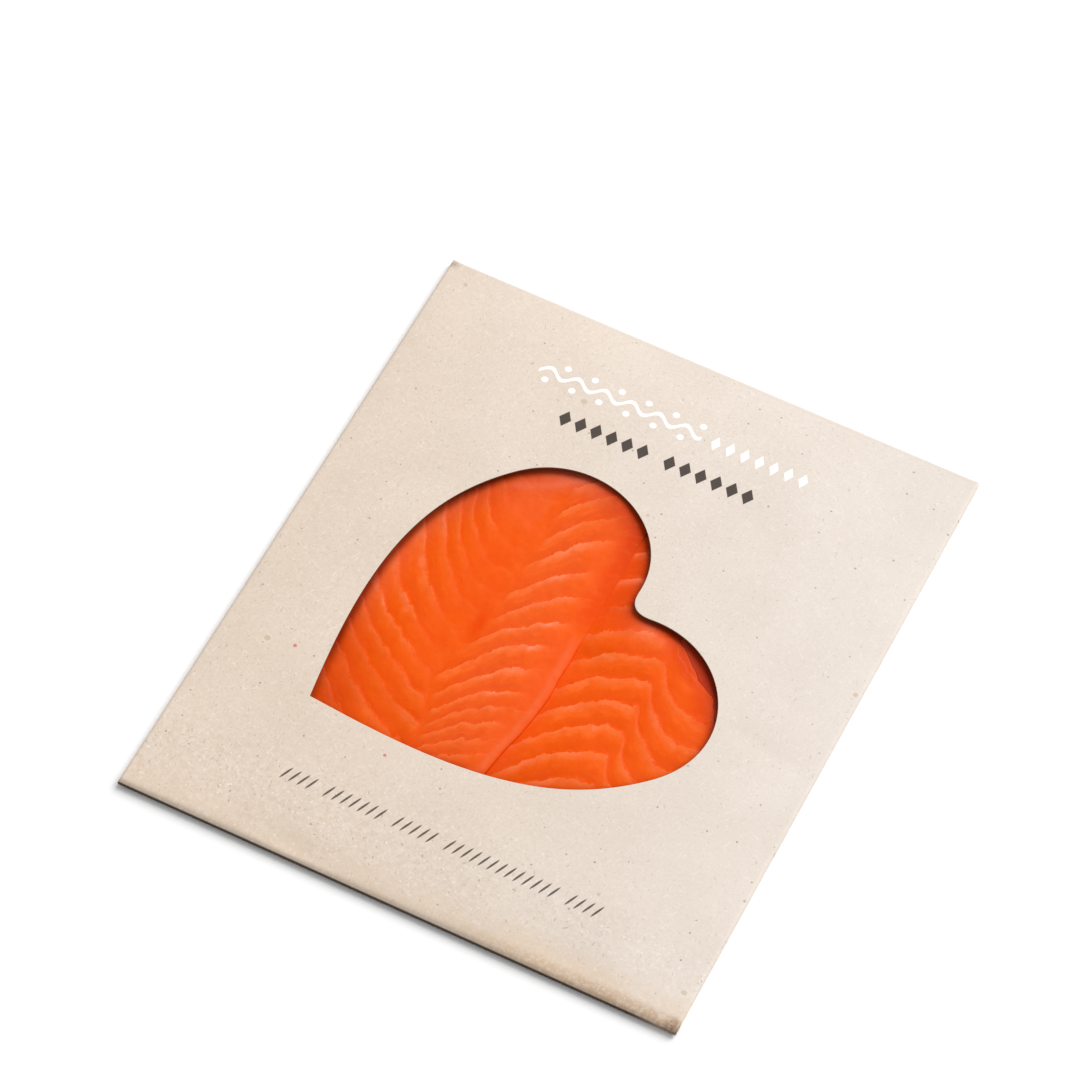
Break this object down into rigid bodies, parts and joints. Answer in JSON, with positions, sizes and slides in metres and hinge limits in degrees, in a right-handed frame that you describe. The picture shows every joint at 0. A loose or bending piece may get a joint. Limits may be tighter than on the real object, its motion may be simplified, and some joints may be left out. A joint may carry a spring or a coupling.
{
  "type": "pack of smoked salmon",
  "caption": "Flat recycled-board sleeve with a heart-shaped window in its front, holding overlapping slices of cold smoked salmon; lies flat on its back.",
  "frame": {"origin": "middle of the pack on the surface that it lies on", "axes": "+X to the right across the front, +Y up the front towards its top edge, +Z out of the front"},
  "size_m": [0.18, 0.22, 0.0056],
  "materials": {
    "board": "uncoated pale grey-buff recycled board with flecks",
    "salmon": "moist orange flesh with paler bands, under clear film",
    "salmon_deep": "moist darker red-orange flesh"
  },
  "bodies": {
    "root": {"sleeve": "board", "salmon_slice_left": "salmon", "salmon_slice_right": "salmon", "salmon_slice_under": "salmon_deep"}
  },
  "joints": []
}
